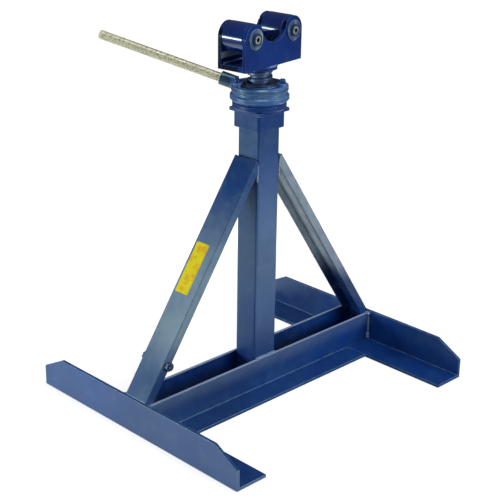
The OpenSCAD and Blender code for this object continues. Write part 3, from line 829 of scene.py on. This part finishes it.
@dataclass
class Stand:
    """The welded stand: feet, rails, post, braces, collar and top plate."""

    half_width: float = 0.335
    foot_wall: float = 0.006
    rail_height: float = 0.070
    rail_wall: float = 0.006
    rail_leg: float = 0.058
    post_half: float = 0.030
    post_top: float = 0.598
    collar_height: float = 0.032
    brace_top: float = 0.516
    brace_low: float = 0.076
    label_width: float = 0.035
    label_length: float = 0.108
    label_height: float = 0.306
    label_aside: float = 0.0075

    def slope(self) -> float:
        """Angle of the braces from the vertical, in radians."""
        return math.atan2(self.half_width - self.foot_wall - self.post_half, self.brace_top - self.brace_low)

    def label(self, finish: bpy.types.Material) -> None:
        """Models the bare label on the left brace's outer face.

        Args:
            finish: The label's material.
        """
        bpy.ops.mesh.primitive_plane_add(size=1.0)
        sheet = bpy.context.object
        sheet.name = "brace_label"
        sheet.scale = (self.label_length, self.label_width, 1)
        settle(sheet)
        bpy.ops.object.mode_set(mode="EDIT")
        bpy.ops.mesh.select_all(action="SELECT")
        bpy.ops.mesh.bevel(offset=0.003, segments=4, affect="VERTICES")
        bpy.ops.mesh.select_all(action="SELECT")
        bpy.ops.mesh.extrude_region_move(TRANSFORM_OT_translate={"value": (0, 0, 0.0003)})
        bpy.ops.object.mode_set(mode="OBJECT")
        outward(sheet)
        slope = self.slope()
        down = Vector((-math.sin(slope), 0, -math.cos(slope)))
        out = Vector((-math.cos(slope), 0, math.sin(slope)))
        side = out.cross(down)
        run = (self.brace_top - self.label_height) / math.cos(slope)
        middle = Vector((-self.post_half, 0, self.brace_top)) + down * run + Vector((0, self.label_aside, 0)) + out * 0.00005
        sheet.matrix_world = Matrix.Translation(middle) @ Matrix((down, side, out)).transposed().to_4x4()
        settle(sheet)
        smooth(sheet, 30)
        finish_piece(sheet, finish, Body.FRAME)

    def welds(self, finish: bpy.types.Material) -> None:
        """Lays the weld beads of the stand.

        Args:
            finish: The paint over the welds.
        """
        post, top = self.post_half, self.rail_height
        foot_in = self.half_width - self.foot_wall
        beads = []
        for side in (-1, 1):
            y = side * post
            beads.append(((-post + 0.004, y + side * 0.001, top + 0.0006), (post - 0.004, y + side * 0.001, top + 0.0006), (0, side, 1)))
            for end in (-1, 1):
                x = end * foot_in
                outer = side * (post + self.rail_wall)
                beads.append(((x, outer, 0.010), (x, outer, top - 0.003), (-end, side, 0)))
        finish_piece(fillet_beads(beads, "stand_welds", 0.0075), finish, Body.FRAME)
        beads = []
        for side in (-1, 1):
            for end in (-1, 1):
                y = side * (post + self.rail_wall / 2)
                beads.append(((end * (foot_in - 0.003), y - 0.005, top - 0.0005), (end * (foot_in - 0.003), y + 0.005, top - 0.0005), (0, 0, 1)))
                outer = side * (post + self.rail_wall)
                beads.append(((end * (foot_in - 0.001), outer, 0.009), (end * (foot_in - 0.001), outer, 0.017), (-end, side, 0)))
        finish_piece(fillet_beads(beads, "rail_end_welds", 0.013), finish, Body.FRAME)
        slope = self.slope()
        beads = []
        for end in (-1, 1):
            low = Vector((end * foot_in, 0, self.brace_low - 0.001))
            beads.append(((low.x - end * 0.001, -post + 0.003, low.z), (low.x - end * 0.001, post - 0.003, low.z), (end, 0, 1)))
            nose = Vector((end * post, 0, self.brace_top - 0.0145))
            beads.append(((nose.x, -post + 0.006, nose.z + 0.002), (nose.x, post - 0.006, nose.z + 0.002), (end, 0, 1)))
            for side in (-1, 1):
                reach = 0.034
                beads.append(((end * (post + 0.0005), side * (post - 0.0015), self.brace_top - 0.020), (end * (post + 0.0005), side * (post - 0.0015), self.brace_top - 0.020 - reach), (end, side, 0)))
        finish_piece(fillet_beads(beads, "brace_welds", 0.005), finish, Body.FRAME)
        LOG.info("brace slope %.1f degrees", math.degrees(slope))

    def assemble(self, finishes: Finishes) -> None:
        """Dresses the stand's solids and adds its welds and label.

        Args:
            finishes: All the materials.
        """
        dress(finishes.stand, "foot_left", "foot_right", "post_base_plate")
        dress(finishes.rail, "rail_front", "rail_back")
        dress(finishes.post, "post")
        dress(finishes.brace_left, "brace_left")
        dress(finishes.brace_right, "brace_right")
        dress(finishes.lift, "collar", "top_plate")
        dress(finishes.bolt, "brace_bolt", "brace_nut")
        self.welds(finishes.weld)
        self.label(finishes.label)


@dataclass
class ScrewLift:
    """The bearing, the ratchet stack, the lever with its pawls and handle, and the threaded screw."""

    major: float = 0.025
    minor: float = 0.0195
    lead: float = 0.012
    crest: float = 0.36
    root: float = 0.36
    spigot: float = 0.018
    foot_low: float = 0.0063
    foot_high: float = 0.0463
    thread_low: float = 0.120
    thread_high: float = 0.6831
    top: float = 0.7021
    steps: int = 64
    wire: float = 0.0011
    spring_gap: float = 0.00008
    spring_turns: int = 4
    pawl_lift: float = 0.0062
    lever_turn: float = math.radians(120)
    lever_tilt: float = math.radians(15.2)

    def handle_along(self) -> Colour:
        """Direction of the handle bar, outwards from the lever."""
        level = math.cos(self.lever_tilt)
        return level * math.cos(self.lever_turn), level * math.sin(self.lever_turn), math.sin(self.lever_tilt)

    def thread(self) -> bpy.types.Object:
        """Winds the trapezoidal thread and cuts it level at both ends.

        Returns:
            The threaded length of the screw.
        """
        low = self.thread_low - 2 * self.lead
        turns = int(math.ceil((self.thread_high - low) / self.lead)) + 2
        flank = (1 - self.crest - self.root) / 2
        stations = [(self.minor, 0), (self.minor, self.root), (self.major, self.root + flank), (self.major, self.root + flank + self.crest), (self.minor, 1)]
        bpy.ops.mesh.primitive_plane_add(size=0.001, location=(0, 0, 0))
        coil = bpy.context.object
        bpy.ops.object.mode_set(mode="EDIT")
        mesh = bmesh.from_edit_mesh(coil.data)
        mesh.clear()
        points = [mesh.verts.new((radius, 0, low + share * self.lead)) for radius, share in stations]
        for one, other in zip(points, points[1:]):
            mesh.edges.new((one, other))
        bmesh.update_edit_mesh(coil.data)
        bpy.ops.object.mode_set(mode="OBJECT")
        modifier(coil, "SCREW", axis="Z", angle=math.tau, screw_offset=self.lead, iterations=turns, steps=self.steps, render_steps=self.steps, use_merge_vertices=False, use_smooth_shade=False)
        outward(coil)
        for height, clear_inner in ((self.thread_low, True), (self.thread_high, False)):
            take(coil)
            bpy.ops.object.mode_set(mode="EDIT")
            bpy.ops.mesh.select_mode(type="VERT")
            bpy.ops.mesh.select_all(action="SELECT")
            bpy.ops.mesh.bisect(plane_co=(0, 0, height), plane_no=(0, 0, 1), use_fill=True, clear_inner=clear_inner, clear_outer=not clear_inner)
            bpy.ops.object.mode_set(mode="OBJECT")
        return coil

    def rod(self, radius: float, low: float, high: float, bevel: float) -> bpy.types.Object:
        """Turns a plain length of the screw with chamfered ends.

        Args:
            radius: Its radius in metres.
            low: Height of its lower end.
            high: Height of its upper end.
            bevel: Width of the chamfers.

        Returns:
            The length in its place.
        """
        bpy.ops.mesh.primitive_cylinder_add(vertices=self.steps, radius=radius, depth=high - low, location=(0, 0, (low + high) / 2))
        bar = settle(bpy.context.object)
        bpy.ops.object.mode_set(mode="EDIT")
        pick(bar, "FACE", lambda middle: math.hypot(middle.x, middle.y) < radius / 4)
        bpy.ops.mesh.bevel(offset=bevel, segments=2, affect="EDGES")
        bpy.ops.object.mode_set(mode="OBJECT")
        return bar

    def spring(self, finish: bpy.types.Material, name: str, joint: str) -> None:
        """Winds one pawl's spring in its pocket.

        Args:
            finish: The spring wire.
            name: Name of the CAD spring that it stands for.
            joint: Not used.
        """
        low, high = node_box(name)
        wire = self.wire / 2
        radius = (high.x - low.x) / 2 - wire - self.spring_gap
        middle = (low + high) / 2
        height = high.z - low.z - 2 * (wire + self.spring_gap)
        bpy.ops.mesh.primitive_circle_add(vertices=10, radius=wire, fill_type="NOTHING", rotation=(math.pi / 2, 0, 0), location=(radius, 0, 0))
        coil = settle(bpy.context.object)
        turns = self.spring_turns
        modifier(coil, "SCREW", axis="Z", angle=math.tau, screw_offset=height / turns, iterations=turns, steps=28, render_steps=28, use_merge_vertices=False, use_smooth_shade=False)
        bpy.ops.object.mode_set(mode="EDIT")
        bpy.ops.mesh.select_mode(type="EDGE")
        bpy.ops.mesh.select_all(action="DESELECT")
        bpy.ops.mesh.select_non_manifold()
        bpy.ops.mesh.edge_face_add()
        bpy.ops.object.mode_set(mode="OBJECT")
        outward(coil)
        coil.location = (middle.x, middle.y, low.z + wire + self.spring_gap)
        settle(coil)
        coil.name = f"coil_{name}"
        smooth(coil, 40)
        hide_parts(name)
        finish_piece(coil, finish, Body.LEVER)
        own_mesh(coil)

    def screw(self, finish: bpy.types.Material) -> None:
        """Models the lifting screw with its thread, shank and spigots.

        Args:
            finish: The oiled steel.
        """
        parts = [
            self.thread(),
            self.rod(self.major, self.foot_high, self.thread_low, 0.0012),
            self.rod(self.spigot, self.foot_low, self.foot_high, 0.0008),
            self.rod(self.spigot, self.thread_high, self.top, 0.0012),
        ]
        whole = unite(parts, "threaded_screw")
        outward(whole)
        smooth(whole, 32)
        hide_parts("screw")
        finish_piece(whole, finish, Body.SCREW)

    def assemble(self, finishes: Finishes) -> None:
        """Dresses the lift's solids and adds the threaded screw.

        Args:
            finishes: All the materials.
        """
        dress(finishes.lift, "bearing_housing", "knob_raise", "knob_lower")
        dress(finishes.rings, "ratchet_wheel", "retaining_ring")
        dress(finishes.yoke, "lever_yoke")
        dress(finishes.bearing, "lower_race", "upper_race")
        dress(finishes.hub, "lift_nut", "pawl_caps")
        dress(finishes.axle, "pawl_raise", "pawl_lower", "guide_pin", "guide_block")
        dress(finishes.bronze, "ball_cage")
        for way in ("raise", "lower"):
            self.spring(finishes.spring, f"spring_{way}", f"pawl_{way}_lift")
        dress(finishes.zinc, "handle_bar")
        self.screw(finishes.thread)


@dataclass
class RollerHead:
    """The head: boss, floor, side plates, axles and rollers."""

    turn: float = math.radians(7)
    axle_half: float = 0.0595
    axle_height: float = 0.7531
    floor_height: float = 0.6921
    floor_wall: float = 0.010
    boss_radius: float = 0.034
    plate_in: float = 0.026
    plate_out: float = 0.034
    half_length: float = 0.0881

    def at(self, x: float, y: float, z: float) -> tuple[float, float, float]:
        """Takes a place on the unturned head to its turned place."""
        spot = Matrix.Rotation(self.turn, 3, "Z") @ Vector((x, y, z))
        return spot.x, spot.y, spot.z

    def boss_weld(self, finish: bpy.types.Material) -> None:
        """Lays the ring of weld between the boss and the head's floor.

        Args:
            finish: The head's paint.
        """
        bpy.ops.mesh.primitive_torus_add(major_radius=self.boss_radius, minor_radius=0.0022, major_segments=72, minor_segments=8, location=(0, 0, self.floor_height - 0.0006))
        ring = settle(bpy.context.object)
        ring.name = "boss_weld"
        bpy.ops.object.mode_set(mode="EDIT")
        mesh = bmesh.from_edit_mesh(ring.data)
        for point in mesh.verts:
            spot = math.atan2(point.co.y, point.co.x)
            swell = 1 + 0.012 * math.sin(36 * spot)
            point.co.x *= swell
            point.co.y *= swell
        bmesh.update_edit_mesh(ring.data)
        bpy.ops.object.mode_set(mode="OBJECT")
        smooth(ring, 60)
        finish_piece(ring, finish, Body.HEAD)

    def plate_welds(self, finish: bpy.types.Material) -> None:
        """Lays the beads between the side plates and the head's floor.

        Args:
            finish: The head's paint.
        """
        beads = []
        for side in (-1, 1):
            y = side * self.plate_in
            z = self.floor_height + self.floor_wall
            turn = Matrix.Rotation(self.turn, 3, "Z")
            lean = turn @ Vector((0, -side, 1))
            beads.append((self.at(-self.half_length + 0.008, y, z), self.at(self.half_length - 0.008, y, z), tuple(lean)))
        finish_piece(fillet_beads(beads, "head_welds", 0.005), finish, Body.HEAD)

    def assemble(self, finishes: Finishes) -> None:
        """Dresses the head's solids and adds its welds.

        Args:
            finishes: All the materials.
        """
        dress(finishes.head, "head_boss", "head_floor", "side_plate_front", "side_plate_back")
        dress(finishes.worn, "axle_washers")
        dress(finishes.axle_end, "axles")
        dress(finishes.axle, "axle_nuts")
        dress(finishes.rollers, "roller_left", "roller_right")
        dress(finishes.bronze, "bushes_left", "bushes_right")
        self.boss_weld(finishes.weld)
        self.plate_welds(finishes.weld)


# ---------------------------------------------------------------- studio


@dataclass
class Studio:
    """The floor, the lamps, the surroundings and the camera."""

    target: tuple[float, float, float] = (-0.0105, 0.00975, 0.3005)
    azimuth: float = math.radians(-44.83)
    height: float = math.radians(21.57)
    roll: float = math.radians(0.85)
    distance: float = 2.615
    lens: float = 91.27
    shade_middle: tuple[float, float, float] = (0.15, -0.12, 0)
    shade_in: float = 0.34
    shade_out: float = 0.5
    shine_full: float = 0.75
    shine_end: float = 1.4
    near_glow: float = 0.86
    floor_glow: float = 0.6
    shine_glow: float = 0.52

    def camera(self) -> None:
        """Sets the camera where the jack is seen from."""
        back = Vector((math.sin(self.azimuth) * math.cos(self.height), -math.cos(self.azimuth) * math.cos(self.height), math.sin(self.height)))
        right = Vector((math.cos(self.azimuth), math.sin(self.azimuth), 0))
        up = back.cross(right)
        across = right * math.cos(self.roll) + up * math.sin(self.roll)
        above = up * math.cos(self.roll) - right * math.sin(self.roll)
        data = bpy.data.cameras.new("view")
        data.sensor_fit = "HORIZONTAL"
        data.sensor_width = 36.0
        data.lens = self.lens
        data.clip_start, data.clip_end = 0.05, 100
        item = bpy.data.objects.new("view", data)
        bpy.context.scene.collection.objects.link(item)
        turn = Matrix((across, above, back)).transposed().to_4x4()
        item.matrix_world = Matrix.Translation(Vector(self.target) + back * self.distance) @ turn
        bpy.context.scene.camera = item

    def lamp(self, name: str, azimuth: float, height: float, distance: float, size: tuple[float, float], watts: float, colour: Colour = (1, 1, 1)) -> None:
        """Hangs one soft box that faces the jack.

        Args:
            name: Name of the lamp.
            azimuth: Its direction from the jack in degrees, as the camera's is given.
            height: Its height over the horizon in degrees.
            distance: How far it hangs from the jack.
            size: Width and height of the box.
            watts: Its power.
            colour: Its tint.
        """
        data = bpy.data.lights.new(name, "AREA")
        data.shape = "RECTANGLE"
        data.size, data.size_y = size
        data.energy = watts
        data.color = colour
        turn, rise = math.radians(azimuth), math.radians(height)
        away = Vector((math.sin(turn) * math.cos(rise), -math.cos(turn) * math.cos(rise), math.sin(rise)))
        item = bpy.data.objects.new(name, data)
        bpy.context.scene.collection.objects.link(item)
        item.matrix_world = Matrix.Translation(Vector((0, 0, 0.45)) + away * distance) @ away.to_track_quat("Z", "Y").to_matrix().to_4x4()

    def surroundings(self) -> None:
        """Makes the white background and the pale floor, which keeps the jack's shadow."""
        world = bpy.data.worlds.new("studio")
        bpy.context.scene.world = world
        world.use_nodes = True
        tree = world.node_tree
        sky = tree.nodes["Background"]
        sky.inputs["Color"].default_value = (1, 1, 1, 1)
        path = tree.nodes.new("ShaderNodeLightPath")
        seen = tree.nodes.new("ShaderNodeMath")
        seen.operation = "MAXIMUM"
        tree.links.new(path.outputs["Is Camera Ray"], seen.inputs[0])
        tree.links.new(path.outputs["Is Transmission Ray"], seen.inputs[1])
        level = tree.nodes.new("ShaderNodeMapRange")
        level.inputs["To Min"].default_value = 0.18
        tree.links.new(seen.outputs[0], level.inputs["Value"])
        shine = tree.nodes.new("ShaderNodeMath")
        shine.operation = "MULTIPLY_ADD"
        shine.inputs[1].default_value = -0.09
        tree.links.new(path.outputs["Is Glossy Ray"], shine.inputs[0])
        tree.links.new(level.outputs["Result"], shine.inputs[2])
        tree.links.new(shine.outputs[0], sky.inputs["Strength"])
        bpy.ops.mesh.primitive_plane_add(size=60, location=(0, 0, -0.0004))
        floor = bpy.context.object
        floor.name = "floor"
        floor.data.materials.append(self.floor_finish())

    def floor_finish(self) -> bpy.types.Material:
        """Mixes the floor: darker right around the jack, as painted shade that the jack's faces reflect, pale around
        that, greyer far off, glowing for glossy rays in the pale ring as a painted reflection, and always looking white
        to the camera.

        Returns:
            The floor's material.
        """
        wires = Wiring("pale_floor")
        aside = wires.add("ShaderNodeVectorMath", operation="DISTANCE")
        aside.inputs[1].default_value = self.shade_middle
        wires.join(wires.place, aside.inputs[0])
        near = wires.ramp(aside.outputs["Value"], self.shade_in, self.shade_out)
        reach = wires.add("ShaderNodeVectorMath", operation="LENGTH")
        wires.join(wires.place, reach.inputs[0])
        far = wires.ramp(reach.outputs["Value"], self.shine_full, self.shine_end)
        # painted shade: darker floor near the jack, seen in the jack's reflections
        tone = wires.blend(near, (0.35, 0.35, 0.35), (0.88, 0.88, 0.88))
        tone = wires.blend(far, tone, (0.2, 0.2, 0.2))
        wires.join(tone, wires.shader.inputs["Base Color"])
        wires.plain(Roughness=0.9)
        wires.shader.inputs["Specular IOR Level"].default_value = 0.1
        wires.shader.inputs["Emission Color"].default_value = (1, 1, 1, 1)
        path = wires.add("ShaderNodeLightPath")
        glow = wires.larger(wires.ramp(near, 0.0, 1.0, self.near_glow, self.floor_glow), wires.ramp(reach.outputs["Value"], 0.45, 0.9))
        seen = wires.times(path.outputs["Is Camera Ray"], glow)
        # painted reflection: the pale ring glows for glossy rays only
        shine = wires.times(wires.ramp(near, 0.0, 1.0, 0.0, self.shine_glow), wires.ramp(far, 0.0, 1.0, 1.0, 0.1))
        shine = wires.times(path.outputs["Is Glossy Ray"], shine)
        wires.join(wires.larger(seen, shine), wires.shader.inputs["Emission Strength"])
        return wires.material

    def assemble(self) -> None:
        """Sets up the camera, the surroundings and the lamps."""
        bpy.context.scene.view_settings.view_transform = "Standard"
        self.camera()
        self.surroundings()
        self.lamp("left_box", -92, 14, 2.7, (1.5, 1.2), 5)
        self.lamp("back_left_box", -138, 8, 2.8, (1.6, 0.8), 5)
        self.lamp("low_strip", -118, 0, 3.0, (1.3, 0.5), 30)
        self.lamp("front_box", 20, 14, 2.8, (1.4, 1.2), 38)
        self.lamp("top_box", -40, 80, 2.6, (1.5, 1.5), 22)


def main() -> None:
    """Builds the studio and the sub-assemblies in order."""
    logging.basicConfig(level=logging.INFO, format="%(name)s: %(message)s")
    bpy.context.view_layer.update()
    lift = ScrewLift()
    finishes = mix_finishes(lift.handle_along())
    Studio().assemble()
    for part in (Stand(), lift, RollerHead()):
        part.assemble(finishes)
        LOG.info("%s is dressed", type(part).__name__)
    deselect_all()


if __name__ == "__main__":
    main()
